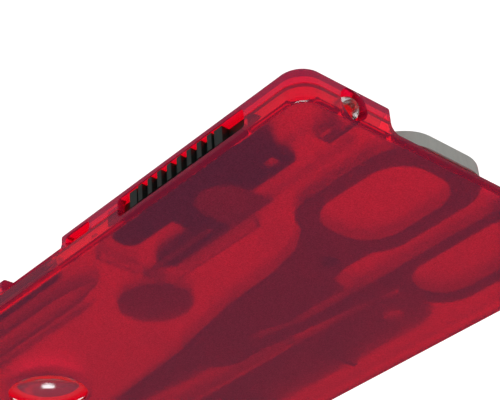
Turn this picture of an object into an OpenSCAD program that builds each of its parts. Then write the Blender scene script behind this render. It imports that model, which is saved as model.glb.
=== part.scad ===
// Pocket card tool: two clear shells around scissors, an opener, a pen, tweezers, a pin, a lens and a lamp.
// X runs along the long edges, Y along the short edges, and Z up to the frosted face.
// The origin is the middle of the underside. Lengths are in millimetres.

/* [Card] */
// Length of the card
card_l = 82; // [80:0.5:100]
// Width of the card
card_w = 54.5; // [54:0.5:68]
// Thickness of the card
card_t = 4.5; // [4.5:0.1:5.6]
// Radius of the corners seen from above
corner_r = 3; // [2.5:0.25:4]
// Rounding of the outer edges
edge_r = 0.7; // [0.5:0.05:0.8]
// Thickness of the floor and of the roof
skin_t = 0.9; // [0.75:0.05:1]
// Thickness of the side walls
wall_t = 1.1; // [0.9:0.1:1.3]
// Clearance around everything that slides
slide_gap = 0.2; // [0.15:0.05:0.3]

/* [Lamp] */
// Diameter of the lamp
lamp_d = 3; // [2.5:0.1:3.6]
// Length of the lamp
lamp_l = 5.2; // [4.2:0.1:5.6]
// How far the lamp's tip stands out of the edge
lamp_proud = 0.2; // [0:0.05:0.25]
// Lamp axis from the front edge
lamp_y = 8; // [7.5:0.05:9]
// Diameter of the coin cell
cell_d = 10; // [8:0.5:12]
// Thickness of the coin cell
cell_t = 1.6; // [1.4:0.1:2.2]

/* [Thumb slide] */
// Slot from the left edge
slot_x = 8.95; // [8:0.05:10]
// Length of the slot
slot_l = 22.35; // [20:0.05:26]
// Height of the slot
slot_h = 2.55; // [2:0.05:3]
// Length of the grip
grip_l = 16.45; // [15:0.05:17]
// Travel towards the lamp
travel_on = 3.5; // [2:0.1:3.6]
// Number of ribs on the grip
rib_count = 8; // [5:1:8]
// Distance between the ribs
rib_pitch = 1.76; // [1.5:0.01:1.8]

/* [Scissors] */
// Thickness of the loops
plate_t = 1.9; // [1.6:0.1:2]
// Front loop, length outside
loop_l = 20.3; // [19:0.1:21]
// Front loop, width outside
loop_w = 16.75; // [13.5:0.05:17]
// Back loop, length outside
back_loop_l = 23.7; // [22:0.1:24]
// Back loop, width outside
back_loop_w = 13.5; // [13:0.1:14]
// Width of the steel around a loop
loop_rim = 2.5; // [2:0.1:3]
// Pivot from the left edge
pivot_x = 49; // [47:0.5:51]
// Pivot from the front edge
pivot_y = 30.65; // [30:0.05:31]
// Length of the blades past the pivot
blade_l = 25; // [20:0.5:26]
// Diameter of the rivet
rivet_d = 3; // [2.5:0.1:3.5]

/* [Tools] */
// Length of the opener
opener_l = 57.9; // [50:0.1:58]
// Width of the opener blade
opener_w = 10.4; // [9:0.1:11]
// Thickness of the opener blade
opener_t = 1.2; // [0.8:0.1:1.3]
// Diameter of the pen
pen_d = 2.3; // [2:0.1:2.4]
// Length of the pen
pen_l = 37; // [34:0.5:38]
// Length of the tweezers
tweezers_l = 34; // [28:0.5:35]
// Width of the tweezers
tweezers_w = 3.6; // [3:0.1:4]
// Diameter of the pin
pin_d = 0.9; // [0.7:0.05:1.1]
// Length of the pin
pin_l = 31; // [26:0.5:31.5]
// Diameter of the magnifier
lens_d = 12; // [10:0.5:12.5]

/* [Hidden] */
$fn = 96;

// Edges and levels that everything else is placed from
left = -card_l / 2;
right = card_l / 2;
front = -card_w / 2;
back = card_w / 2;
mid_z = card_t / 2;
floor_z = skin_t;
roof_z = card_t - skin_t;
over = 1;
joint_gap = 0.05;
rest_gap = 0.1;

// Light bay
lamp_pos = front + lamp_y;
lamp_tip = left - lamp_proud;
lamp_z = mid_z + 0.15;
lamp_end = lamp_tip + lamp_l;
lamp_gap = 0.2;
flare_d = card_t - 0.4;
flare_l = 1.3;
bay_wall_x = left + 22.4;
bay_wall_l = 15;
bay_wall_y = front + 13.8;
bay_wall_t = 0.5;
bay_end_x = left + 38.7;
cell_x = left + 39.5 + cell_d / 2;
cell_y = front + 16.25;
cell_skin = 0.25;
strip_t = 0.2;
strip_w = 0.9;
return_y = bay_wall_y - strip_w - 0.1;
cell_base = floor_z + strip_t + 4 * joint_gap;
cell_top = cell_base + cell_t;

// Thumb slide
slot_left = left + slot_x;
slot_right = slot_left + slot_l;
slot_z = mid_z - slot_h / 2;
window_x = slot_right + 5.5;
window_l = 4.8;
grip_left = slot_left + travel_on + slide_gap;
grip_right = grip_left + grip_l;
travel_off = slot_l - grip_l - travel_on - 2 * slide_gap;
slide_left = grip_left - 3.85;
slide_right = grip_right + 6;
slide_front = front + wall_t + slide_gap;
slide_back = front + 5.3;
slide_low = floor_z + slide_gap;
slide_high = roof_z - slide_gap;
shoulder_r = 1.6;
step_left = slide_left + 1;
step_right = slide_right - 7.25;
step_back = front + 8.65;
step_low = mid_z - 0.2;
step_window = [step_left + 1.3, slide_back + 0.7];
step_window_size = [2.5, 2.3];
tongue_r = 3.45;
tongue_x = slide_left + 12.2;
tongue_y = front + 7.5;
tongue_back = front + 12.1;
tongue_t = 0.25;

// Scissors
steel_top = roof_z - rest_gap;
steel_base = steel_top - plate_t;
lap_gap = 0.08;
lap_t = (plate_t - lap_gap) / 2;
lap_r = 5;
lap_room = 0.3;
loop_proud = 0.25;
loop_r = 5.2;
loop_x = left - loop_proud;
loop_y = front + 14.85;
back_loop_y = loop_y + loop_w + 3.45;
pivot = [left + pivot_x, front + pivot_y];
tip = [pivot[0] + blade_l, pivot[1]];
eye = [left + 23.5, front + 27];
spring_end = [left + 37.5, front + 33.85];
spring_r = 16;
spring_w = 0.8;
spring_t = 0.35;
spring_z = steel_top - 0.5;
eye_r = 2.3;
eye_rivet_d = 2.2;
drain_d = 2.2;
head_t = 0.35;
head_r = 2.5;
mouth_y = front + 13.8;
mouth_end = back_loop_y + back_loop_w + 2.7;
mouth_fillet = 1.2;
scoop_l = 4.5;

// Opener
opener_x = right - opener_l + opener_w / 2;
opener_y = back - 9.65;
opener_z = floor_z + 0.4;
handle_l = 12;
handle_w = 12.7;
handle_y = back - 16.05;
handle_proud = loop_proud;
tang_l = 5;
eyelet_d = 2.9;

// Pen, tweezers, pin and lens
pen_wall = 0.65;
pen_y = front + pen_wall + pen_d / 2;
pen_end = right - 1;
pen_start = pen_end - pen_l;
pen_gap = 0.15;
pen_bore_d = 1.3;
nib_l = 2.6;
button_l = 1;
pen_notch_x = pen_start - 1.6;
pen_notch_l = 13;
tweezers_y = pen_y + pen_d / 2 + 1.45;
tab_l = 4.2;
arm_t = 0.6;
tweezers_h = 2;
pin_y = front + 10.05;
pin_head_l = 2.4;
pin_head_d = 2.2;
lens_x = right - 10.5;
lens_y = front + 18.65;
lens_curve_r = 40;
lens_lip = 0.5;
lens_t = 1.6;

// Ribs inside the shells
rib_t = 0.8;
rest_l = 9.6;
guide_r = 24;
divider_y = handle_y - slide_gap - rib_t;

// A box between two corners
module block(x0, x1, y0, y1, z0, z1) {
    translate([x0, y0, z0])
        cube([x1 - x0, y1 - y0, z1 - z0]);
}

// A flat outline between two corners with round corners
module round_outline(x0, x1, y0, y1, r) {
    translate([x0 + r, y0])
        square([x1 - x0 - 2 * r, y1 - y0]);
    translate([x0, y0 + r])
        square([x1 - x0, y1 - y0 - 2 * r]);
    for (x = [x0 + r, x1 - r], y = [y0 + r, y1 - r])
        translate([x, y])
            circle(r);
}

// An outline raised from one level to another
module raise(z0, z1) {
    translate([0, 0, z0])
        linear_extrude(z1 - z0)
            children();
}

// A round bar along X
module bar_x(x0, x1, y, z, d) {
    translate([x0, y, z])
        rotate([0, 90, 0])
            cylinder(d = d, h = x1 - x0);
}

// A bar that follows an arc between two points, standing on the ground plane
module arc_bar(start, end, radius, width, height) {
    chord = end - start;
    rise = sqrt(radius * radius - chord * chord / 4);
    across = [-chord[1], chord[0]] / norm(chord);
    centre = (start + end) / 2 + across * rise;
    from = atan2(start[1] - centre[1], start[0] - centre[0]);
    to = atan2(end[1] - centre[1], end[0] - centre[0]);
    translate([centre[0], centre[1], 0])
        rotate([0, 0, from])
            rotate_extrude(angle = to - from)
                translate([radius - width / 2, 0])
                    square([width, height]);
}

// Section through the outer edge, from a corner's centre outwards
module edge_section() {
    square([corner_r - edge_r, card_t]);
    translate([0, edge_r])
        square([corner_r, card_t - 2 * edge_r]);
    for (z = [edge_r, card_t - edge_r])
        translate([corner_r - edge_r, z])
            circle(edge_r);
}

// The whole card with round corners and edges
module card_block() {
    inner_l = card_l - 2 * corner_r;
    inner_w = card_w - 2 * corner_r;
    block(-inner_l / 2, inner_l / 2, -inner_w / 2, inner_w / 2, 0, card_t);
    for (x = [-1, 1], y = [-1, 1])
        translate([x * inner_l / 2, y * inner_w / 2, 0])
            rotate_extrude()
                edge_section();
    for (turn = [0, 180]) {
        rotate([0, 0, turn])
            translate([inner_l / 2, inner_w / 2, 0])
                rotate([90, 0, 0])
                    linear_extrude(inner_w)
                        edge_section();
        rotate([0, 0, turn + 90])
            translate([inner_w / 2, inner_l / 2, 0])
                rotate([90, 0, 0])
                    linear_extrude(inner_l)
                        edge_section();
    }
}

// The hollow inside
module hollow() {
    raise(floor_z, roof_z)
        round_outline(left + wall_t, right - wall_t, front + wall_t, back - wall_t, corner_r - wall_t);
}

// Light bay walls, the divider beside the scissors, and rests under the tools
module inner_walls() {
    block(bay_wall_x, bay_wall_x + bay_wall_l, bay_wall_y, bay_wall_y + bay_wall_t, floor_z, roof_z);
    block(bay_end_x, bay_end_x + rib_t, front + 3, front + 9, floor_z, roof_z);
    block(left + 42, right - wall_t, divider_y, divider_y + rib_t, floor_z, roof_z);
    for (x = [left + 27, left + 55])
        block(x, x + rib_t, front + 23, front + 36, floor_z, steel_base - rest_gap);
    difference() {
        translate([0, 0, floor_z])
            for (shift = [0, 1.8])
                arc_bar([left + 13 + shift, front + 10 - shift / 3],
                    [left + 25.3 + shift, front + 20.3 - shift / 3],
                    guide_r, bay_wall_t, mid_z - joint_gap - floor_z);
        block(left, right, return_y - joint_gap, return_y + strip_w + joint_gap,
            0, floor_z + strip_t + 2 * joint_gap);
    }
    for (x = [right - 41, right - 21]) {
        block(x, x + rib_t, opener_y - rest_l / 2, opener_y + rest_l / 2, floor_z, opener_z - rest_gap);
        block(x, x + rib_t, opener_y - rest_l / 2, opener_y + rest_l / 2,
            max(mid_z + joint_gap, opener_z + opener_t + rest_gap), roof_z);
    }
}

// Opening in the left edge that the scissors leave by, with a thumb scoop through the floor
module scissors_mouth() {
    difference() {
        block(left - over, left + wall_t + rest_gap, mouth_y, mouth_end, -over, roof_z);
        for (side = [0, 1])
            translate([left - 2 * over, side == 0 ? mouth_y : mouth_end, roof_z])
                rotate([0, 90, 0])
                    difference() {
                        translate([0, side == 0 ? 0 : -mouth_fillet, 0])
                            cube([mouth_fillet, mouth_fillet, 5 * over]);
                        translate([mouth_fillet, side == 0 ? mouth_fillet : -mouth_fillet, -over])
                            cylinder(r = mouth_fillet, h = 7 * over);
                    }
    }
    raise(-over, floor_z + rest_gap)
        round_outline(left - 2 * scoop_l, left + scoop_l, mouth_y, mouth_end, scoop_l - 0.5);
}

// Slot for the thumb slide and the short window behind it
module slide_slot() {
    translate([0, front + wall_t + over, 0])
        rotate([90, 0, 0])
            linear_extrude(wall_t + 2 * over)
                round_outline(slot_left, slot_right, slot_z, slot_z + slot_h, 0.6);
    translate([0, front + wall_t + over, 0])
        rotate([90, 0, 0])
            linear_extrude(wall_t + 2 * over)
                round_outline(window_x, window_x + window_l, floor_z - joint_gap, mid_z, 0.55);
}

// Notch in the front edge of the lower shell where the pen is pushed out
module pen_notch() {
    difference() {
        block(pen_notch_x, pen_notch_x + pen_notch_l, front - over, pen_y, -over, mid_z);
        for (side = [0, 1])
            translate([pen_notch_x + side * pen_notch_l, pen_y + over, mid_z])
                rotate([90, 0, 0])
                    difference() {
                        translate([side == 0 ? 0 : -over, -over, 0])
                            cube([over, over, 5 * over]);
                        translate([side == 0 ? over : -over, -over, -over])
                            cylinder(r = over, h = 7 * over);
                    }
    }
}

// Every way out through the walls
module openings() {
    scissors_mouth();
    slide_slot();
    bar_x(left - over, lamp_end + rest_gap, lamp_pos, lamp_z, lamp_d + 2 * lamp_gap);
    translate([left - joint_gap, lamp_pos, lamp_z])
        rotate([0, 90, 0])
            cylinder(d1 = flare_d, d2 = lamp_d + lamp_gap, h = flare_l);
    bar_x(pen_start - rest_gap, right + over, pen_y, mid_z, pen_d + 2 * pen_gap);
    block(right - wall_t - over, right + over, tweezers_y - slide_gap, tweezers_y + tweezers_w + slide_gap,
        mid_z - tweezers_h / 2 - slide_gap, mid_z + tweezers_h / 2 + slide_gap);
    bar_x(right - wall_t - over, right + over, pin_y, mid_z, pin_head_d + 2 * slide_gap);
    block(right - wall_t - over, right + over, handle_y - slide_gap, handle_y + handle_w + slide_gap,
        floor_z, roof_z);
    translate([lens_x, lens_y, -over])
        cylinder(d = lens_d - 2 * lens_lip, h = card_t + 2 * over);
    translate([lens_x, lens_y, mid_z])
        cylinder(d = lens_d + slide_gap, h = roof_z + lens_lip - mid_z);
}

// One shell: the part of the card between two levels
module shell(z0, z1) {
    difference() {
        intersection() {
            union() {
                difference() {
                    card_block();
                    hollow();
                }
                inner_walls();
            }
            block(left - over, right + over, front - over, back + over, z0, z1);
        }
        openings();
    }
}

module base_shell() {
    color([0.8, 0.05, 0.12, 0.6])
        difference() {
            shell(0, mid_z);
            pen_notch();
        }
}

module cover_shell() {
    color([0.72, 0.08, 0.15, 0.6])
        shell(mid_z, card_t);
}

// Slide body, the step that carries the contact, and the ribbed grip in the slot
module thumb_slide() {
    rib_start = (grip_left + grip_right - (rib_count - 1) * rib_pitch) / 2;
    rib_w = 0.75;
    grip_end_l = 1.35;
    color([0.06, 0.07, 0.07])
        difference() {
            union() {
                raise(slide_low, slide_high)
                    round_outline(slide_left, slide_right, slide_front, slide_back, shoulder_r);
                raise(step_low, slide_high)
                    round_outline(step_left, step_right, slide_back - 2, step_back, 0.4);
                block(grip_left, grip_right, front + 0.75, slide_front + over, slot_z + slide_gap,
                    slot_z + slot_h - slide_gap);
                for (x = [grip_left, grip_right - grip_end_l])
                    block(x, x + grip_end_l, front + 0.1, slide_front,
                        slot_z + slide_gap, slot_z + slot_h - slide_gap);
                for (i = [0 : rib_count - 1])
                    block(rib_start + i * rib_pitch - rib_w / 2, rib_start + i * rib_pitch + rib_w / 2,
                        front, slide_front, slot_z + slide_gap, slot_z + slot_h - slide_gap);
            }
            raise(slide_high - tongue_t - joint_gap, card_t)
                tongue_outline(joint_gap);
            raise(0, card_t)
                translate(step_window)
                    square(step_window_size);
        }
}

// Round-ended contact tongue let into the top of the slide
module tongue_outline(room) {
    translate([tongue_x, tongue_y])
        circle(tongue_r + room);
    translate([tongue_x - tongue_r - room, tongue_y])
        square([2 * (tongue_r + room), tongue_back - tongue_y]);
}

module slide_contact() {
    color([0.7, 0.66, 0.55])
        raise(slide_high - tongue_t, slide_high)
            tongue_outline(0);
}

module lamp_lens() {
    color([0.93, 0.9, 0.9, 0.6]) {
        bar_x(lamp_tip + lamp_d / 2, lamp_end, lamp_pos, lamp_z, lamp_d);
        translate([lamp_tip + lamp_d / 2, lamp_pos, lamp_z])
            sphere(d = lamp_d);
    }
}

// Two leads bent down behind the lamp, one of them running on under the slide
module lamp_leads() {
    wire = 0.45;
    ends = [lamp_end + 0.5, lamp_end + 1];
    rows = [lamp_pos + 0.65, lamp_pos - 0.65];
    drops = [floor_z + strip_t + 2 * joint_gap, mid_z - 0.95];
    color([0.78, 0.78, 0.76])
        for (i = [0, 1]) {
            low_y = rows[i] - wire / 2;
            high_y = rows[i] + wire / 2;
            block(lamp_end, ends[i], low_y, high_y, lamp_z - wire / 2, lamp_z + wire / 2);
            block(ends[i] - wire, ends[i], low_y, high_y, drops[i], lamp_z + wire / 2);
            if (i == 1)
                block(ends[i] - wire, ends[i] + 4.5, low_y, high_y, drops[i], drops[i] + strip_t);
        }
}

module cell_can() {
    color([0.72, 0.72, 0.7])
        translate([cell_x, cell_y, cell_base + 0.2])
            difference() {
                cylinder(d = cell_d, h = cell_t - 0.2);
                translate([0, 0, -over])
                    cylinder(d = cell_d - 2 * cell_skin, h = cell_t - 0.2 - cell_skin + over);
            }
}

module cell_gasket() {
    color([0.15, 0.15, 0.16])
        translate([cell_x, cell_y, cell_base + 0.1])
            difference() {
                cylinder(d = cell_d - 2 * cell_skin - 2 * joint_gap, h = cell_t - 0.5);
                translate([0, 0, -over])
                    cylinder(d = cell_d - 1.5, h = cell_t + 2 * over);
            }
}

module cell_cap() {
    color([0.66, 0.66, 0.64])
        translate([cell_x, cell_y, cell_base])
            cylinder(d = cell_d - 1.5 - 2 * joint_gap, h = cell_t - cell_skin - joint_gap);
}

// Strip from the slide's contact to the side of the cell
module contact_positive() {
    strip_y = front + 9.9;
    strip_z = mid_z + 0.8;
    plate_x = cell_x - cell_d / 2 - joint_gap - strip_t;
    color([0.78, 0.68, 0.42]) {
        block(tongue_x + tongue_r + travel_off + slide_gap, plate_x + strip_t,
            strip_y, strip_y + strip_w, strip_z, strip_z + strip_t);
        block(plate_x, plate_x + strip_t, strip_y, cell_y + 2, mid_z - 0.6, strip_z + strip_t);
    }
}

// Strip under the cell that runs back to the lamp
module contact_negative() {
    low = floor_z + joint_gap;
    foot_x = lamp_end + joint_gap;
    foot_w = 0.8;
    color([0.72, 0.66, 0.5])
        raise(low, low + strip_t) {
            translate([cell_x, cell_y])
                circle(3);
            translate([foot_x, return_y])
                square([cell_x - foot_x, strip_w]);
            translate([foot_x, lamp_pos])
                square([foot_w, return_y + strip_w - lamp_pos]);
        }
}

module contact_carrier() {
    color([0.08, 0.08, 0.09])
        raise(floor_z + strip_t + 2 * joint_gap, mid_z + 0.75)
            round_outline(left + 24, left + 36.9, front + 9.4, front + 12.6, 1.5);
}

// Scissors: the fixed half's handle, in one outline
module front_handle() {
    round_outline(loop_x, loop_x + loop_l, loop_y, loop_y + loop_w, loop_r);
    polygon([
        [loop_x + loop_l - 3, loop_y + 2],
        [left + 23.5, front + 21.25],
        [left + 29.3, front + 22.75],
        [left + 38.5, front + 23.55],
        [pivot[0], pivot[1] - lap_r],
        pivot,
        [left + 42, front + 31.6],
        [left + 38, front + 33],
        [left + 27.3, front + 33.4],
        [left + 26, front + 30.2],
        [left + 23, front + 29.6],
        [loop_x + loop_l - 4, loop_y + loop_w - 1.5]
    ]);
}

// The moving half's handle
module back_handle() {
    round_outline(loop_x, loop_x + back_loop_l, back_loop_y, back_loop_y + back_loop_w, loop_r);
    polygon([
        [loop_x + 10, back_loop_y],
        [left + 35, front + 34.85],
        [pivot[0] - 4, pivot[1] + 2],
        pivot,
        [pivot[0], pivot[1] + lap_r],
        [pivot[0] - 4, pivot[1] + lap_r],
        [left + 35, front + 37.05],
        [loop_x + back_loop_l - 1, back_loop_y + 4]
    ]);
}

// A blade past the pivot, with its spine on one side
module blade_outline(side) {
    polygon([
        [pivot[0], pivot[1] + side * (lap_r - 0.5)],
        [pivot[0] + lap_r, pivot[1] + side * 4],
        [tip[0] - 3, tip[1] + side * 2.2],
        [tip[0], tip[1] + side * 0.3],
        [tip[0] - 0.4, tip[1] - side * 0.3],
        [pivot[0] + lap_r, pivot[1] - side * 1.2],
        [pivot[0], pivot[1] - side * 1.4]
    ]);
}

// Spring leaf: an eye and an arc from it towards the moving half
module spring_shape(room) {
    translate([eye[0], eye[1], 0])
        cylinder(r = eye_r + room, h = spring_t + room);
    arc_bar(eye, spring_end, spring_r, spring_w + 2 * room, spring_t + room);
}

// Room for the rivet and its two flush heads
module rivet_holes(d, r, z0, z1) {
    translate([0, 0, z0 - over])
        cylinder(d = d, h = z1 - z0 + 2 * over);
    for (z = [z0 - over, z1 - head_t - joint_gap])
        translate([0, 0, z])
            cylinder(r = r, h = head_t + joint_gap + over);
}

module scissors_fixed_half() {
    color([0.72, 0.72, 0.7])
        difference() {
            union() {
                raise(steel_base, steel_top)
                    difference() {
                        front_handle();
                        translate(pivot)
                            circle(lap_r + lap_room);
                    }
                raise(steel_base, steel_base + lap_t) {
                    front_handle();
                    translate(pivot)
                        circle(lap_r);
                    blade_outline(1);
                }
            }
            raise(steel_base - over, steel_top + over)
                round_outline(loop_x + loop_rim + 0.35, loop_x + loop_l - loop_rim + 0.5, loop_y + loop_rim,
                    loop_y + loop_w - loop_rim, loop_r - 0.4);
            translate([pivot[0], pivot[1], 0])
                rivet_holes(rivet_d + 2 * joint_gap, head_r + joint_gap, steel_base, steel_top);
            translate([0, 0, spring_z - joint_gap])
                spring_shape(0.15);
            translate([eye[0], eye[1], steel_base - over])
                cylinder(d = eye_rivet_d + 2 * joint_gap, h = plate_t + 2 * over);
            translate([eye[0] + 3.9, eye[1] + 0.3, steel_base - over])
                cylinder(d = drain_d, h = plate_t + 2 * over);
        }
}

module scissors_moving_half() {
    color([0.78, 0.78, 0.76])
        difference() {
            union() {
                raise(steel_base, steel_top)
                    difference() {
                        back_handle();
                        translate(pivot)
                            circle(lap_r + lap_room);
                    }
                raise(steel_top - lap_t, steel_top) {
                    back_handle();
                    translate(pivot)
                        circle(lap_r);
                    blade_outline(-1);
                }
            }
            raise(steel_base - over, steel_top + over)
                round_outline(loop_x + loop_rim, loop_x + back_loop_l - loop_rim + 0.3,
                    back_loop_y + loop_rim - 0.4, back_loop_y + back_loop_w - loop_rim + 0.2, loop_r - 1);
            translate([pivot[0], pivot[1], 0])
                rivet_holes(rivet_d + 2 * joint_gap, head_r + joint_gap, steel_base, steel_top);
        }
}

module scissors_rivet() {
    color([0.6, 0.6, 0.6])
        translate([pivot[0], pivot[1], steel_base]) {
            cylinder(d = rivet_d, h = plate_t);
            for (z = [0, plate_t - head_t])
                translate([0, 0, z])
                    cylinder(r = head_r, h = head_t);
        }
}

module scissors_spring() {
    color([0.62, 0.62, 0.6])
        translate([0, 0, spring_z])
            difference() {
                spring_shape(0);
                translate([eye[0], eye[1], -over])
                    cylinder(d = eye_rivet_d + 2 * joint_gap, h = 3 * over);
            }
}

module spring_rivet() {
    color([0.25, 0.25, 0.26])
        translate([eye[0], eye[1], steel_base])
            cylinder(d = eye_rivet_d, h = plate_t);
}

module opener_blade() {
    tail = right - handle_l + tang_l;
    color([0.75, 0.75, 0.73])
        raise(opener_z, opener_z + opener_t)
            difference() {
                union() {
                    translate([opener_x, opener_y])
                        circle(d = opener_w);
                    translate([opener_x, opener_y - opener_w / 2])
                        square([right - handle_l - opener_x, opener_w]);
                    translate([opener_x, opener_y - opener_w / 4])
                        square([tail - opener_x, opener_w / 2]);
                }
                translate([opener_x, opener_y])
                    circle(d = eyelet_d);
            }
}

module opener_handle() {
    color([0.8, 0.05, 0.12, 0.7])
        difference() {
            raise(floor_z + slide_gap, roof_z - slide_gap)
                round_outline(right - handle_l + joint_gap, right + handle_proud,
                    handle_y, handle_y + handle_w, 1);
            block(right - handle_l - over, right - handle_l + tang_l + joint_gap,
                opener_y - opener_w / 4 - joint_gap, opener_y + opener_w / 4 + joint_gap,
                opener_z - joint_gap, opener_z + opener_t + joint_gap);
            for (i = [0 : 2])
                block(right - 2.6 + i * 0.9, right - 2.2 + i * 0.9,
                    handle_y - over, handle_y + handle_w + over,
                    roof_z - slide_gap - 0.25, roof_z);
        }
}

// Two spring arms that meet behind the tab and nearly touch at the tips
module tweezers() {
    start = right - tab_l - tweezers_l;
    end = right - tab_l;
    mid = tweezers_y + tweezers_w / 2;
    half = tweezers_w / 2;
    color([0.76, 0.76, 0.74])
        raise(mid_z - tweezers_h / 2, mid_z + tweezers_h / 2)
            polygon([
                [end, mid + half],
                [start + 6, mid + half],
                [start, mid + 0.55],
                [start, mid + 0.25],
                [start + 6, mid + half - arm_t],
                [end - arm_t, mid + half - arm_t],
                [end - arm_t, mid - half + arm_t],
                [start + 6, mid - half + arm_t],
                [start, mid - 0.25],
                [start, mid - 0.55],
                [start + 6, mid - half],
                [end, mid - half]
            ]);
}

module tweezers_tab() {
    color([0.85, 0.83, 0.78])
        raise(mid_z - tweezers_h / 2, mid_z + tweezers_h / 2)
            round_outline(right - tab_l + joint_gap, right + handle_proud,
                tweezers_y, tweezers_y + tweezers_w, 0.6);
}

module pen_barrel() {
    color([0.2, 0.2, 0.22])
        difference() {
            bar_x(pen_start + nib_l, pen_end - button_l, pen_y, mid_z, pen_d);
            bar_x(pen_start + nib_l - over, pen_end - button_l - 1.5, pen_y, mid_z, pen_bore_d);
        }
}

module pen_refill() {
    tube_d = pen_bore_d - 2 * joint_gap;
    color([0.75, 0.68, 0.45]) {
        bar_x(pen_start + nib_l, pen_end - button_l - 2, pen_y, mid_z, tube_d);
        translate([pen_start, pen_y, mid_z])
            rotate([0, 90, 0])
                cylinder(d1 = 0.5, d2 = tube_d, h = nib_l);
    }
}

module pen_button() {
    color([0.75, 0.75, 0.73]) {
        bar_x(pen_end - button_l + joint_gap, pen_end, pen_y, mid_z, pen_d - 0.3);
    }
}

module steel_pin() {
    color([0.78, 0.78, 0.78]) {
        bar_x(right - pin_head_l - pin_l + 3, right - pin_head_l, pin_y, mid_z, pin_d);
        translate([right - pin_head_l - pin_l, pin_y, mid_z])
            rotate([0, 90, 0])
                cylinder(d1 = 0.15, d2 = pin_d, h = 3);
    }
}

module pin_head() {
    color([0.85, 0.83, 0.78])
        difference() {
            bar_x(right - pin_head_l + joint_gap, right + handle_proud, pin_y, mid_z, pin_head_d);
            block(right, right + over, pin_y - 0.2, pin_y + 0.2, 0, card_t);
        }
}

module magnifier_lens() {
    top = roof_z + lens_lip - joint_gap;
    color([0.9, 0.95, 0.95, 0.4])
        translate([lens_x, lens_y, top - lens_t])
            intersection() {
                cylinder(d = lens_d, h = lens_t);
                translate([0, 0, lens_t - lens_curve_r])
                    sphere(r = lens_curve_r, $fn = 192);
                translate([0, 0, lens_curve_r])
                    sphere(r = lens_curve_r, $fn = 192);
            }
}

base_shell();
cover_shell();
thumb_slide();
slide_contact();
lamp_lens();
lamp_leads();
cell_can();
cell_gasket();
cell_cap();
contact_positive();
contact_negative();
contact_carrier();
scissors_fixed_half();
scissors_moving_half();
scissors_rivet();
scissors_spring();
spring_rivet();
opener_blade();
opener_handle();
tweezers();
tweezers_tab();
pen_barrel();
pen_refill();
pen_button();
steel_pin();
pin_head();
magnifier_lens();
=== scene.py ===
"""Pocket card tool: a frosted red card case with its lamp, thumb slide and steel tools."""
import math

import bmesh
import bpy
from mathutils import Matrix, Vector


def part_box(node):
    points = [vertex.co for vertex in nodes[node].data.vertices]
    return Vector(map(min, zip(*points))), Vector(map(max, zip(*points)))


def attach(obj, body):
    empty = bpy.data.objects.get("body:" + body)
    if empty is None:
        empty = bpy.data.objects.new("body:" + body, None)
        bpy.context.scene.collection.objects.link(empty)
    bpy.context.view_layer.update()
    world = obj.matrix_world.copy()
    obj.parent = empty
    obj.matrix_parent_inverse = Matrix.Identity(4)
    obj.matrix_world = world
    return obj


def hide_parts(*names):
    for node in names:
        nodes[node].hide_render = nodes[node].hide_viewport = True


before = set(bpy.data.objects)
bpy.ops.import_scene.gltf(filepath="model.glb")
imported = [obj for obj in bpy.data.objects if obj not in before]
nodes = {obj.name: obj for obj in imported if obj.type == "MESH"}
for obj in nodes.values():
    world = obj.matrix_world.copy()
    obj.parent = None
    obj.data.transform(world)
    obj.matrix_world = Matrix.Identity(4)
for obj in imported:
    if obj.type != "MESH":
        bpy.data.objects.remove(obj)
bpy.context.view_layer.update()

MM = 0.001
CASE_LOW, CASE_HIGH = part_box("base_shell")[0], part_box("cover_shell")[1]
FACE_Z = CASE_HIGH[2]
CORNER = Vector((CASE_LOW[0], CASE_LOW[1], FACE_Z - 0.7 * MM))


# ---------------------------------------------------------------- shader building
def new_material(name):
    """A node material with its Principled shader."""
    mat = bpy.data.materials.new(name)
    mat.use_nodes = True
    return mat, mat.node_tree, mat.node_tree.nodes["Principled BSDF"]


def add(tree, kind, **settings):
    """A node of this kind with its properties set."""
    node = tree.nodes.new(kind)
    for key, value in settings.items():
        setattr(node, key, value)
    return node


def set_inputs(node, **values):
    """Constant values on named sockets, with underscores for spaces."""
    for key, value in values.items():
        node.inputs[key.replace("_", " ")].default_value = value


def math_node(tree, operation, a, b=None, clamp=False):
    """A Math node fed with sockets or numbers."""
    node = add(tree, "ShaderNodeMath", operation=operation, use_clamp=clamp)
    for i, value in enumerate((a, b)):
        if value is None:
            continue
        if isinstance(value, (int, float)):
            node.inputs[i].default_value = value
        else:
            tree.links.new(value, node.inputs[i])
    return node.outputs[0]


def mix_colour(tree, factor, a, b):
    """A colour between two, by a factor socket."""
    node = add(tree, "ShaderNodeMix", data_type="RGBA")
    tree.links.new(factor, node.inputs["Factor"])
    for socket, value in (("A", a), ("B", b)):
        target = [s for s in node.inputs if s.name == socket and s.type == "RGBA"][0]
        if isinstance(value, tuple):
            target.default_value = (*value, 1) if len(value) == 3 else value
        else:
            tree.links.new(value, target)
    return [s for s in node.outputs if s.type == "RGBA"][0]


def ramp(tree, value, low, high):
    """Value mapped to 0..1 between low and high."""
    node = add(tree, "ShaderNodeMapRange", clamp=True)
    tree.links.new(value, node.inputs["Value"])
    node.inputs["From Min"].default_value = low
    node.inputs["From Max"].default_value = high
    return node.outputs["Result"]


def new_group(name, inputs, outputs):
    """A shader node group with named float or colour sockets."""
    group = bpy.data.node_groups.new(name, "ShaderNodeTree")
    for label, kind, value in inputs:
        socket = group.interface.new_socket(label, in_out="INPUT", socket_type=kind)
        socket.default_value = value
    for label, kind in outputs:
        group.interface.new_socket(label, in_out="OUTPUT", socket_type=kind)
    return group, group.nodes.new("NodeGroupInput"), group.nodes.new("NodeGroupOutput")


def use_group(tree, group, **values):
    """The group placed in a material with its own values."""
    node = add(tree, "ShaderNodeGroup")
    node.node_tree = group
    set_inputs(node, **values)
    return node


FLOAT = "NodeSocketFloat"


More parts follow.
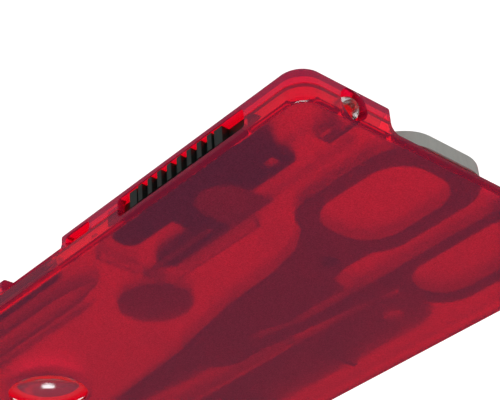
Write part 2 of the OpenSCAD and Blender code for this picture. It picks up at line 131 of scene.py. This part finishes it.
def frost_group():
    """Fine spark-eroded frost: a height and a 0..1 speckle."""
    group, source, target = new_group(
        "Frost grain", [("Scale", FLOAT, 6000.0), ("Depth", FLOAT, 1.0)],
        [("Height", FLOAT), ("Speckle", FLOAT)])
    coords = add(group, "ShaderNodeTexCoord")
    fine = add(group, "ShaderNodeTexNoise")
    set_inputs(fine, Detail=3.0, Roughness=0.6)
    group.links.new(coords.outputs["Object"], fine.inputs["Vector"])
    group.links.new(source.outputs["Scale"], fine.inputs["Scale"])
    speckle = ramp(group, fine.outputs["Fac"], 0.3, 0.7)
    group.links.new(speckle, target.inputs["Speckle"])
    group.links.new(math_node(group, "MULTIPLY", speckle, source.outputs["Depth"]), target.inputs["Height"])
    return group


def scuff_group():
    """Faint fine scratches and smudges on handled surfaces: a 0..1 mask."""
    group, source, target = new_group(
        "Scuffs", [("Scale", FLOAT, 300.0), ("Amount", FLOAT, 0.5)], [("Mask", FLOAT)])
    coords = add(group, "ShaderNodeTexCoord")
    stretch = add(group, "ShaderNodeMapping")
    stretch.inputs["Scale"].default_value = (1.0, 9.0, 1.0)
    stretch.inputs["Rotation"].default_value = (0.0, 0.0, 0.5)
    noise = add(group, "ShaderNodeTexNoise")
    set_inputs(noise, Detail=6.0, Roughness=0.7)
    group.links.new(coords.outputs["Object"], stretch.inputs["Vector"])
    group.links.new(stretch.outputs["Vector"], noise.inputs["Vector"])
    group.links.new(source.outputs["Scale"], noise.inputs["Scale"])
    mask = ramp(group, noise.outputs["Fac"], 0.48, 0.75)
    group.links.new(math_node(group, "MULTIPLY", mask, source.outputs["Amount"]), target.inputs["Mask"])
    return group


def brush_group():
    """Ground steel: long fine lines as a height and a 0..1 tone."""
    group, source, target = new_group(
        "Ground lines", [("Scale", FLOAT, 1500.0), ("Depth", FLOAT, 1.0)],
        [("Height", FLOAT), ("Tone", FLOAT)])
    coords = add(group, "ShaderNodeTexCoord")
    stretch = add(group, "ShaderNodeMapping")
    stretch.inputs["Scale"].default_value = (0.04, 1.0, 0.3)
    noise = add(group, "ShaderNodeTexNoise")
    set_inputs(noise, Detail=5.0, Roughness=0.65)
    group.links.new(coords.outputs["Object"], stretch.inputs["Vector"])
    group.links.new(stretch.outputs["Vector"], noise.inputs["Vector"])
    group.links.new(source.outputs["Scale"], noise.inputs["Scale"])
    tone = ramp(group, noise.outputs["Fac"], 0.25, 0.75)
    group.links.new(tone, target.inputs["Tone"])
    group.links.new(math_node(group, "MULTIPLY", tone, source.outputs["Depth"]), target.inputs["Height"])
    return group


FROST, SCUFFS, GROUND = frost_group(), scuff_group(), brush_group()

# Red plastic: the share of each colour left after one part in RED_DENSITY of a metre
RED_DENSITY = 4500.0
RED_ABSORB = (0.986, 0.0, 0.40)


def add_bump(tree, shader, height, strength, distance):
    """A Bump node from a height to the shader's normal."""
    bump = add(tree, "ShaderNodeBump")
    set_inputs(bump, Strength=strength, Distance=distance)
    tree.links.new(height, bump.inputs["Height"])
    tree.links.new(bump.outputs["Normal"], shader.inputs["Normal"])


def clear_red(name, tint=(0.98, 0.04, 0.24), transmission=0.80, frosted=False):
    """Glossy clear red moulding; with frosted the top face is finely grained."""
    mat, tree, shader = new_material(name)
    set_inputs(shader, IOR=1.49, Specular_IOR_Level=0.25, Transmission_Weight=transmission)
    scuffs = use_group(tree, SCUFFS, Scale=260.0, Amount=0.6)
    gloss = math_node(tree, "MULTIPLY_ADD", scuffs.outputs["Mask"], 0.10)
    gloss.node.inputs[2].default_value = 0.05
    colour = mix_colour(tree, scuffs.outputs["Mask"], tint, (0.97, 0.12, 0.30))
    if frosted:
        coords = add(tree, "ShaderNodeTexCoord")
        place = add(tree, "ShaderNodeSeparateXYZ")
        tree.links.new(coords.outputs["Object"], place.inputs[0])
        face = ramp(tree, place.outputs["Z"], FACE_Z - 0.02 * MM, FACE_Z - 0.01 * MM)
        frost = use_group(tree, FROST, Scale=7000.0, Depth=1.0)
        rough = math_node(tree, "MULTIPLY_ADD", frost.outputs["Speckle"], 0.08)
        rough.node.inputs[2].default_value = 0.30
        mix = add(tree, "ShaderNodeMix", data_type="FLOAT")
        tree.links.new(face, mix.inputs["Factor"])
        tree.links.new(gloss, mix.inputs["A"])
        tree.links.new(rough, mix.inputs["B"])
        tree.links.new(mix.outputs["Result"], shader.inputs["Roughness"])
        grain = mix_colour(tree, frost.outputs["Speckle"], (1.0, 0.11, 0.42), (0.46, 0.04, 0.18))
        colour = mix_colour(tree, face, colour, grain)
        add_bump(tree, shader, math_node(tree, "MULTIPLY", frost.outputs["Height"], face), 0.35, 0.03 * MM)
    else:
        tree.links.new(gloss, shader.inputs["Roughness"])
        add_bump(tree, shader, scuffs.outputs["Mask"], 0.05, 0.01 * MM)
    tree.links.new(colour, shader.inputs["Base Color"])
    inside = add(tree, "ShaderNodeVolumeAbsorption")
    inside.inputs["Color"].default_value = (*RED_ABSORB, 1)
    inside.inputs["Density"].default_value = RED_DENSITY
    tree.links.new(inside.outputs[0], tree.nodes["Material Output"].inputs["Volume"])
    return mat


def moulded(name, colour, light, roughness, grain=2500.0, depth=0.02):
    """Opaque moulded plastic with a fine grain and rubbed spots."""
    mat, tree, shader = new_material(name)
    frost = use_group(tree, FROST, Scale=grain, Depth=1.0)
    scuffs = use_group(tree, SCUFFS, Scale=500.0, Amount=0.8)
    tree.links.new(mix_colour(tree, scuffs.outputs["Mask"], colour, light), shader.inputs["Base Color"])
    rough = math_node(tree, "MULTIPLY_ADD", frost.outputs["Speckle"], 0.12)
    rough.node.inputs[2].default_value = roughness
    tree.links.new(rough, shader.inputs["Roughness"])
    add_bump(tree, shader, frost.outputs["Height"], 0.3, depth * MM)
    return mat


def ground_metal(name, colour, light, roughness, scale=1500.0):
    """Satin metal with ground lines along the part."""
    mat, tree, shader = new_material(name)
    set_inputs(shader, Metallic=1.0)
    lines = use_group(tree, GROUND, Scale=scale, Depth=1.0)
    tree.links.new(mix_colour(tree, lines.outputs["Tone"], colour, light), shader.inputs["Base Color"])
    rough = math_node(tree, "MULTIPLY_ADD", lines.outputs["Tone"], 0.12)
    rough.node.inputs[2].default_value = roughness
    tree.links.new(rough, shader.inputs["Roughness"])
    add_bump(tree, shader, lines.outputs["Height"], 0.15, 0.01 * MM)
    return mat


def clear_moulding(name, tint, roughness, ior):
    """Clear lamp epoxy or lens plastic with faint flow marks."""
    mat, tree, shader = new_material(name)
    set_inputs(shader, IOR=ior, Transmission_Weight=1.0)
    scuffs = use_group(tree, SCUFFS, Scale=900.0, Amount=0.4)
    colour = mix_colour(tree, scuffs.outputs["Mask"], tint, (0.9, 0.88, 0.88))
    tree.links.new(colour, shader.inputs["Base Color"])
    rough = math_node(tree, "MULTIPLY_ADD", scuffs.outputs["Mask"], 0.08)
    rough.node.inputs[2].default_value = roughness
    tree.links.new(rough, shader.inputs["Roughness"])
    add_bump(tree, shader, scuffs.outputs["Mask"], 0.1, 0.01 * MM)
    return mat


CLEAR_RED = clear_red("Clear red shell")
FROSTED_RED = clear_red("Frosted red cover", frosted=True, transmission=0.88)
BLACK = moulded("Black slide plastic", (0.005, 0.010, 0.008), (0.016, 0.026, 0.022), 0.34)
CREAM = moulded("Cream tab plastic", (0.75, 0.7, 0.6), (0.85, 0.82, 0.75), 0.4)
STEEL = ground_metal("Satin tool steel", (0.74, 0.74, 0.69), (0.86, 0.86, 0.80), 0.38)
BRIGHT_STEEL = ground_metal("Plated cell steel", (0.78, 0.78, 0.76), (0.90, 0.90, 0.88), 0.38)
DARK_STEEL = ground_metal("Darkened steel", (0.05, 0.05, 0.055), (0.12, 0.12, 0.12), 0.35)
STRIP = ground_metal("Contact strip", (0.80, 0.72, 0.55), (0.92, 0.86, 0.70), 0.45)
WIRE = ground_metal("Tinned wire", (0.7, 0.7, 0.69), (0.85, 0.85, 0.84), 0.2)
EPOXY = clear_moulding("Clear lamp epoxy", (1.0, 0.97, 0.97), 0.04, 1.52)
LENS = clear_moulding("Clear lens", (0.98, 1.0, 1.0), 0.02, 1.49)
CHIP = moulded("Lamp chip", (0.7, 0.55, 0.12), (0.85, 0.7, 0.3), 0.3, grain=9000.0, depth=0.005)

# ---------------------------------------------------------------- mesh building, in millimetres
def rounded(u0, u1, v0, v1, r, steps=10):
    """A rectangle with round corners, as points in a plane."""
    points = []
    corners = ((u1 - r, v1 - r, 0), (u0 + r, v1 - r, 90), (u0 + r, v0 + r, 180), (u1 - r, v0 + r, 270))
    for cu, cv, start in corners:
        for i in range(steps + 1):
            angle = math.radians(start + 90 * i / steps)
            points.append((cu + r * math.cos(angle), cv + r * math.sin(angle)))
    return points


def disc(u, v, r, steps=64):
    """A circle as points in a plane."""
    return [(u + r * math.cos(2 * math.pi * i / steps), v + r * math.sin(2 * math.pi * i / steps))
            for i in range(steps)]


def arc_bar(start, end, radius, width, steps=20):
    """Outline of a bar along an arc from start to end."""
    start, end = Vector(start), Vector(end)
    chord = end - start
    rise = math.sqrt(radius ** 2 - chord.length_squared / 4)
    centre = (start + end) / 2 + Vector((-chord.y, chord.x)).normalized() * rise
    first = math.atan2(start.y - centre.y, start.x - centre.x)
    last = math.atan2(end.y - centre.y, end.x - centre.x)
    angles = [first + (last - first) * i / steps for i in range(steps + 1)]
    side = [[centre + Vector((math.cos(a), math.sin(a))) * r for a in angles]
            for r in (radius + width / 2, radius - width / 2)]
    return [tuple(p) for p in side[0] + side[1][::-1]]


# Where a plane's two directions and its depth go: along X, along Y and upwards
ALONG = {
    "x": lambda u, v, depth: (depth, u, v),
    "y": lambda u, v, depth: (v, depth, u),
    "z": lambda u, v, depth: (u, v, depth),
}


def loft(axis, sections):
    """A closed solid through (depth, points) sections, as an object."""
    mesh_bm = bmesh.new()
    rows = [[mesh_bm.verts.new(Vector(ALONG[axis](u, v, depth)) * MM) for u, v in points]
            for depth, points in sections]
    for low, high in zip(rows, rows[1:]):
        for i in range(len(low)):
            j = (i + 1) % len(low)
            mesh_bm.faces.new((low[i], low[j], high[j], high[i]))
    mesh_bm.faces.new(rows[0][::-1])
    mesh_bm.faces.new(rows[-1])
    bmesh.ops.recalc_face_normals(mesh_bm, faces=mesh_bm.faces)
    mesh = bpy.data.meshes.new("solid")
    mesh_bm.to_mesh(mesh)
    mesh_bm.free()
    solid = bpy.data.objects.new("solid", mesh)
    bpy.context.scene.collection.objects.link(solid)
    return solid


def bar(axis, depth0, depth1, points):
    """One outline pushed along an axis."""
    return loft(axis, [(depth0, points), (depth1, points)])


def box_bar(x0, x1, y0, y1, z0, z1):
    """A plain block to add or to cut with."""
    return bar("z", z0, z1, [(x0, y0), (x1, y0), (x1, y1), (x0, y1)])


def rod(x0, x1, y, z, r0, r1=None):
    """A round bar or cone along X."""
    return loft("x", [(x0, disc(y, z, r0)), (x1, disc(y, z, r0 if r1 is None else r1))])


def carve(solid, steps):
    """Adds and cuts the tools in order, then keeps the result as the solid's own mesh."""
    for operation, tool in steps:
        modifier = solid.modifiers.new(operation, "BOOLEAN")
        modifier.object = tool
        modifier.operation = operation
        modifier.solver = "MANIFOLD"
    graph = bpy.context.evaluated_depsgraph_get()
    mesh = bpy.data.meshes.new_from_object(solid.evaluated_get(graph))
    solid.modifiers.clear()
    solid.data = mesh
    for _, tool in steps:
        bpy.data.objects.remove(tool)
    return solid


def finish_piece(piece, name, body, material, replaced=(), sharp=32.0):
    """Names the piece, shades it evenly, hangs it on its body and hides the CAD nodes it stands for."""
    piece.name = name
    piece.data.name = name
    piece.data.materials.clear()
    piece.data.materials.append(material)
    piece.data.shade_smooth()
    piece.data.set_sharp_from_angle(angle=math.radians(sharp))
    even = piece.modifiers.new("even shading", "WEIGHTED_NORMAL")
    even.keep_sharp = True
    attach(piece, body)
    if replaced:
        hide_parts(*replaced)
    return piece


def dressed(node, body, material, width, segments=2, sharp=32.0):
    """A CAD node's shape with its edges broken, to stand for the node."""
    mesh_bm = bmesh.new()
    mesh_bm.from_mesh(nodes[node].data)
    bmesh.ops.remove_doubles(mesh_bm, verts=mesh_bm.verts, dist=0.001 * MM)
    bmesh.ops.dissolve_limit(mesh_bm, angle_limit=math.radians(0.5), verts=mesh_bm.verts, edges=mesh_bm.edges)
    edges = [e for e in mesh_bm.edges if e.is_manifold and e.calc_face_angle() > math.radians(40)]
    bmesh.ops.bevel(mesh_bm, geom=edges, offset=width * MM, offset_type="OFFSET", segments=segments,
                    profile=0.6, affect="EDGES", clamp_overlap=True)
    mesh = bpy.data.meshes.new(node)
    mesh_bm.to_mesh(mesh)
    mesh_bm.free()
    piece = bpy.data.objects.new(node + "_finished", mesh)
    bpy.context.scene.collection.objects.link(piece)
    return finish_piece(piece, node + "_finished", body, material, (node,), sharp)


# ---------------------------------------------------------------- places read from the frame
def box_mm(node):
    """A node's box in millimetres: x0, x1, y0, y1, z0, z1."""
    low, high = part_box(node)
    return [value / MM for pair in zip(low, high) for value in pair]


LEFT, RIGHT, FRONT, BACK, _, MID_Z = box_mm("base_shell")
TOP_Z = FACE_Z / MM
FLOOR_Z = 0.9
ROOF_Z = TOP_Z - FLOOR_Z
WALL = 1.1
CORNER_R = 3.0
EDGE_R = 0.7
PARTING_CHAMFER = 0.06
PARTING_GAP = 0.012
GAP = 0.2
OVER = 1.0
SUNK = 0.2
EDGE_STEPS = 10
CORNER_STEPS = 16
RIB_T = 0.8
THIN_RIB_T = 0.5
GUIDE_R = 24
GUIDE_STEP = 1.8
REST_HALF = 4.8
REST_GAP = 0.1
SEAT_GAP = 0.05
STRIP_W = 1.0
STRIP_ROOM = 0.3
SCOOP_REACH = 4.5
SCOOP_R = 4
SLOT_R = 0.6
WINDOW_R = 0.55
FLARE_SKIN = 0.4
FLARE_L = 1.25
PEN_GAP = 0.15
LENS_LIP = 0.5
LENS_CURVE = 40.0

LAMP = box_mm("lamp_lens")
LAMP_R = (LAMP[3] - LAMP[2]) / 2
LAMP_Y, LAMP_Z = (LAMP[2] + LAMP[3]) / 2, (LAMP[4] + LAMP[5]) / 2
SLIDE = box_mm("thumb_slide")
SCISSORS = box_mm("scissors_fixed_half")
MOUTH = (box_mm("scissors_fixed_half")[2] - 1.05, box_mm("scissors_moving_half")[3] + 2.7)
HANDLE = box_mm("opener_handle")
BLADE = box_mm("opener_blade")
PEN = box_mm("pen_barrel")
PEN_Y = (PEN[2] + PEN[3]) / 2
TWEEZERS = box_mm("tweezers")
PIN = box_mm("pin_head")
GLASS = box_mm("magnifier_lens")
GLASS_XY = ((GLASS[0] + GLASS[1]) / 2, (GLASS[2] + GLASS[3]) / 2)
SLOT_X = (LEFT + 8.95, LEFT + 31.3)
SLOT_Z = (SLIDE[4] - 0.125, SLIDE[4] + 2.425)
BAY_WALL_Y = FRONT + 13.8
STRIP_Y = BAY_WALL_Y - 1.1
MOUTH_FILLET = 1.2
PARTING = PARTING_GAP / 2


# ---------------------------------------------------------------- the two shells of the case
def card_half(low, high):
    """The card between two levels, with its outer edges rounded and a fine chamfer at the parting."""
    sections = []
    arc = [math.radians(90 * i / EDGE_STEPS) for i in range(EDGE_STEPS + 1)]
    if low < FLOOR_Z:
        levels = [(low + EDGE_R * (1 - math.cos(a)), EDGE_R * (1 - math.sin(a))) for a in arc]
        levels += [(high - PARTING_CHAMFER, 0.0), (high, PARTING_CHAMFER)]
    else:
        levels = [(low, PARTING_CHAMFER), (low + PARTING_CHAMFER, 0.0)]
        levels += [(high - EDGE_R * (1 - math.cos(a)), EDGE_R * (1 - math.sin(a))) for a in arc[::-1]]
    for level, inset in levels:
        outline = rounded(LEFT + inset, RIGHT - inset, FRONT + inset, BACK - inset,
                          CORNER_R - inset, CORNER_STEPS)
        sections.append((level, outline))
    return loft("z", sections)


def inner_ribs(low, high):
    """Bay walls, guide ribs, the divider by the opener and rests under the tools, between two levels."""
    def wall(points, z0, z1):
        z0, z1 = max(z0, low), min(z1, high)
        return [("UNION", bar("z", z0, z1, points))] if z1 - z0 > 0.1 else []

    def block(x0, x1, y0, y1, z0, z1):
        return wall([(x0, y0), (x1, y0), (x1, y1), (x0, y1)], z0, z1)

    floor, roof, under_steel = FLOOR_Z - SUNK, ROOF_Z + SUNK, SCISSORS[4] - REST_GAP
    ribs = block(LEFT + 22.4, LEFT + 37.4, BAY_WALL_Y, BAY_WALL_Y + THIN_RIB_T, floor, roof)
    ribs += block(LEFT + 38.7, LEFT + 39.5, FRONT + 3, FRONT + 9, floor, roof)
    divider = HANDLE[2] - GAP - RIB_T
    ribs += block(LEFT + 42, RIGHT - WALL + SUNK, divider, divider + RIB_T, floor, roof)
    for x in (LEFT + 27, LEFT + 55):
        ribs += block(x, x + RIB_T, FRONT + 23, FRONT + 36, floor, under_steel)
    for shift in (0.0, GUIDE_STEP):
        start = (LEFT + 13 + shift, FRONT + 10 - shift / 3)
        end = (LEFT + 25.3 + shift, FRONT + 20.3 - shift / 3)
        ribs += wall(arc_bar(start, end, GUIDE_R, THIN_RIB_T), floor, MID_Z - SEAT_GAP)
    opener_y = (BLADE[2] + BLADE[3]) / 2
    low_y, high_y = opener_y - REST_HALF, opener_y + REST_HALF
    for x in (RIGHT - 41, RIGHT - 21):
        ribs += block(x, x + RIB_T, low_y, high_y, floor, BLADE[4] - REST_GAP)
        ribs += block(x, x + RIB_T, low_y, high_y, max(MID_Z, BLADE[5] + REST_GAP), roof)
    if low < FLOOR_Z:
        notch = box_bar(LEFT + 12, LEFT + 26, STRIP_Y - SEAT_GAP, STRIP_Y + STRIP_W + SEAT_GAP,
                        FLOOR_Z, FLOOR_Z + STRIP_ROOM)
        ribs.append(("DIFFERENCE", notch))
    return ribs


def ways_out():
    """Everything cut through the walls: scissors mouth, slide slot, lamp hole, tool holes and lens window."""
    inner = LEFT + WALL + REST_GAP
    slot_inner = FRONT + WALL + REST_GAP
    outside, inside = RIGHT + OVER, RIGHT - WALL - OVER
    glass_r = (GLASS[1] - GLASS[0]) / 2
    window = rounded(FLOOR_Z - SEAT_GAP, MID_Z, SLOT_X[1] + 5.5, SLOT_X[1] + 10.3, WINDOW_R)
    tools = [
        bar("x", LEFT - OVER, inner, rounded(*MOUTH, -5, ROOF_Z, MOUTH_FILLET)),
        bar("z", -OVER, FLOOR_Z + REST_GAP, rounded(LEFT - 9, LEFT + SCOOP_REACH, *MOUTH, SCOOP_R)),
        bar("y", FRONT - OVER, slot_inner, rounded(*SLOT_Z, *SLOT_X, SLOT_R)),
        bar("y", FRONT - OVER, slot_inner, window),
        rod(LEFT - OVER, LAMP[1] + REST_GAP, LAMP_Y, LAMP_Z, LAMP_R + GAP),
        rod(LEFT - SEAT_GAP, LEFT + FLARE_L, LAMP_Y, LAMP_Z, (TOP_Z - FLARE_SKIN) / 2, LAMP_R + GAP / 2),
        rod(box_mm("pen_refill")[0] - REST_GAP, outside, PEN_Y, MID_Z, (PEN[3] - PEN[2]) / 2 + PEN_GAP),
        box_bar(inside, outside, TWEEZERS[2] - GAP, TWEEZERS[3] + GAP, TWEEZERS[4] - GAP, TWEEZERS[5] + GAP),
        rod(inside, outside, (PIN[2] + PIN[3]) / 2, MID_Z, (PIN[3] - PIN[2]) / 2 + GAP),
        box_bar(inside, outside, HANDLE[2] - GAP, HANDLE[3] + GAP, FLOOR_Z, ROOF_Z),
        bar("z", -OVER, TOP_Z + OVER, disc(*GLASS_XY, glass_r - LENS_LIP, 96)),
        bar("z", MID_Z, GLASS[5] + SEAT_GAP, disc(*GLASS_XY, glass_r + GAP / 2, 96)),
    ]
    return [("DIFFERENCE", tool) for tool in tools]


def case_half(name, low, high, extra, material, node):
    """One shell, hollowed, ribbed and opened."""
    inner = rounded(LEFT + WALL, RIGHT - WALL, FRONT + WALL, BACK - WALL, CORNER_R - WALL)
    hollow = bar("z", FLOOR_Z, ROOF_Z, inner)
    steps = [("DIFFERENCE", hollow)] + inner_ribs(low, high) + ways_out() + extra
    return finish_piece(carve(card_half(low, high), steps), name, "case", material, (node,))


pen_start = box_mm("pen_refill")[0]
pen_notch = bar("y", FRONT - OVER, PEN_Y, rounded(-5, MID_Z, pen_start - 1.6, pen_start + 11.4, 1.0))
case_half("base_half", 0.0, MID_Z - PARTING, [("DIFFERENCE", pen_notch)],
          CLEAR_RED, "base_shell")
case_half("cover_half", MID_Z + PARTING, TOP_Z, [], FROSTED_RED, "cover_shell")


# ---------------------------------------------------------------- the lamp
def lamp_body():
    """Clear round-nosed lamp body with a short collar at its back."""
    sections = []
    for i in range(1, 17):
        angle = math.radians(90 * i / 16)
        ring = disc(LAMP_Y, LAMP_Z, LAMP_R * math.sin(angle))
        sections.append((LAMP[0] + LAMP_R * (1 - math.cos(angle)), ring))
    sections.append((LAMP[1] - SEAT_GAP, disc(LAMP_Y, LAMP_Z, LAMP_R)))
    sections.append((LAMP[1], disc(LAMP_Y, LAMP_Z, LAMP_R - SEAT_GAP)))
    return finish_piece(loft("x", sections), "lamp_body", "case", EPOXY, ("lamp_lens",), 40)


def lamp_frame():
    """The two posts cast into the lamp: one carries the reflector cup."""
    cup_x = LAMP[0] + 2.5
    stem = box_bar(cup_x + 0.9, LAMP[1] - 0.02, LAMP_Y + 0.2, LAMP_Y + 0.95, LAMP_Z - 0.22, LAMP_Z + 0.22)
    post = box_bar(cup_x + 0.35, LAMP[1] - 0.02, LAMP_Y - 0.95, LAMP_Y - 0.35, LAMP_Z - 0.22, LAMP_Z + 0.22)
    anvil = box_bar(cup_x + 0.7, cup_x + 1.6, LAMP_Y - 0.15, LAMP_Y + 1.0, LAMP_Z - 0.3, LAMP_Z + 0.3)
    cup = rod(cup_x, cup_x + 1.0, LAMP_Y + 0.05, LAMP_Z, 0.72, 0.45)
    bowl = rod(cup_x - 0.02, cup_x + 0.5, LAMP_Y + 0.05, LAMP_Z, 0.62, 0.3)
    carve(cup, [("UNION", anvil), ("UNION", stem), ("DIFFERENCE", bowl)])
    finish_piece(cup, "lamp_cup", "case", WIRE)
    finish_piece(post, "lamp_post", "case", WIRE)
    chip_front = rounded(LAMP_Y - 0.08, LAMP_Y + 0.18, LAMP_Z - 0.13, LAMP_Z + 0.13, 0.02, 2)
    chip_back = rounded(LAMP_Y - 0.1, LAMP_Y + 0.2, LAMP_Z - 0.15, LAMP_Z + 0.15, 0.02, 2)
    chip = loft("x", [(cup_x + 0.34, chip_front), (cup_x + 0.49, chip_back)])
    finish_piece(chip, "lamp_chip", "case", CHIP)


lamp_body()
lamp_frame()


# ---------------------------------------------------------------- the magnifier
def magnifier():
    """A lens with two shallow domed faces and a straight rim."""
    radius = (GLASS[1] - GLASS[0]) / 2
    rings = [radius * math.sin(math.radians(90 * i / 10)) for i in range(1, 11)]
    rise = [LENS_CURVE - math.sqrt(LENS_CURVE ** 2 - r ** 2) for r in rings]
    sections = [(GLASS[4] + lift, disc(*GLASS_XY, r, 96)) for r, lift in zip(rings, rise)]
    sections += [(GLASS[5] - lift, disc(*GLASS_XY, r, 96)) for r, lift in zip(rings[::-1], rise[::-1])]
    return finish_piece(loft("z", sections), "magnifier", "case", LENS, ("magnifier_lens",))


magnifier()

# ---------------------------------------------------------------- the other pieces, with broken edges
# node: body, material, slot, width of the broken edge in millimetres
TOOLS = {
    "thumb_slide": ("switch", BLACK, "black_plastic", 0.12),
    "slide_contact": ("switch", STRIP, "spring_brass", 0.03),
    "lamp_leads": ("case", WIRE, "tinned_wire", 0.04),
    "cell_can": ("case", BRIGHT_STEEL, "cell_steel", 0.15),
    "cell_gasket": ("case", BLACK, "black_plastic", 0.03),
    "cell_cap": ("case", BRIGHT_STEEL, "cell_steel", 0.12),
    "contact_positive": ("case", STRIP, "spring_brass", 0.03),
    "contact_negative": ("case", STRIP, "spring_brass", 0.03),
    "contact_carrier": ("case", BLACK, "black_plastic", 0.15),
    "scissors_fixed_half": ("scissors", STEEL, "satin_steel", 0.14),
    "scissors_moving_half": ("scissors_blade", STEEL, "satin_steel", 0.14),
    "scissors_rivet": ("scissors", BRIGHT_STEEL, "satin_steel", 0.1),
    "scissors_spring": ("scissors", STEEL, "satin_steel", 0.04),
    "spring_rivet": ("scissors", DARK_STEEL, "dark_steel", 0.1),
    "opener_blade": ("opener", STEEL, "satin_steel", 0.1),
    "opener_handle": ("opener", CLEAR_RED, "clear_red", 0.12),
    "tweezers": ("tweezers_body", STEEL, "satin_steel", 0.06),
    "tweezers_tab": ("tweezers_body", CREAM, "cream_plastic", 0.15),
    "pen_barrel": ("pen", DARK_STEEL, "dark_steel", 0.06),
    "pen_refill": ("pen", STRIP, "spring_brass", 0.03),
    "pen_button": ("pen", BRIGHT_STEEL, "cell_steel", 0.12),
    "steel_pin": ("pin", STEEL, "satin_steel", 0.02),
    "pin_head": ("pin", CREAM, "cream_plastic", 0.12),
}
for node, (body, material, slot, width) in TOOLS.items():
    dressed(node, body, material, width)

# ---------------------------------------------------------------- floor, light and camera
floor_mesh = bpy.data.meshes.new("floor")
floor_mesh.from_pydata([(-3, -3, 0), (3, -3, 0), (3, 3, 0), (-3, 3, 0)], [], [(0, 1, 2, 3)])
floor = bpy.data.objects.new("floor", floor_mesh)
floor.location.z = CASE_LOW[2] - 0.05 * MM
bpy.context.scene.collection.objects.link(floor)
floor_mat, floor_tree, floor_shader = new_material("Pale floor")
set_inputs(floor_shader, Base_Color=(0.35, 0.35, 0.35, 1), Roughness=0.8, Emission_Color=(1, 1, 1, 1))
ray = add(floor_tree, "ShaderNodeLightPath")
passed = math_node(floor_tree, "SUBTRACT", 1.0, ray.outputs["Is Transmission Ray"])
mirrored = math_node(floor_tree, "MULTIPLY", ray.outputs["Is Glossy Ray"], passed)
glow = math_node(floor_tree, "MULTIPLY_ADD", mirrored, -1.05)
glow.node.inputs[2].default_value = 1.1
floor_tree.links.new(glow, floor_shader.inputs["Emission Strength"])
floor_mesh.materials.append(floor_mat)


def soft_light(name, location, target, size, power):
    """A square area light aimed at a point."""
    data = bpy.data.lights.new(name, "AREA")
    data.size = size
    data.energy = power
    light = bpy.data.objects.new(name, data)
    light.location = location
    light.rotation_euler = (Vector(target) - Vector(location)).to_track_quat("-Z", "Y").to_euler()
    bpy.context.scene.collection.objects.link(light)
    return light


soft_light("overhead softbox", (-0.10, -0.08, 0.60), (0, 0, 0), 0.30, 2.1)

world = bpy.data.worlds.new("studio")
bpy.context.scene.world = world
world.use_nodes = True
world.node_tree.nodes["Background"].inputs["Color"].default_value = (0.9, 0.93, 1.0, 1)
world.node_tree.nodes["Background"].inputs["Strength"].default_value = 0.13
bpy.context.scene.view_settings.view_transform = "Standard"

# Clear plastic needs long light paths
cycles = bpy.context.scene.cycles
cycles.max_bounces = 32
cycles.glossy_bounces = 16
cycles.transmission_bounces = 32

# The camera stands outside the lamp's corner, rolled over so that the underside is up
CAMERA_FROM_CORNER = Vector((-83.7, -91.1, 94.6)) * MM
AIM = Vector((-22.7, -18.2, 4.5)) * MM
CAMERA_ROLL = math.radians(175.1)
camera_data = bpy.data.cameras.new("camera")
camera_data.lens = 107.3
camera_data.sensor_width = 36.0
camera_data.clip_start = 0.005
camera = bpy.data.objects.new("camera", camera_data)
camera.location = CORNER + CAMERA_FROM_CORNER
look = (AIM - camera.location).to_track_quat("-Z", "Y").to_matrix().to_4x4()
camera.rotation_euler = (look @ Matrix.Rotation(CAMERA_ROLL, 4, "Z")).to_euler()
bpy.context.scene.collection.objects.link(camera)
bpy.context.scene.camera = camera
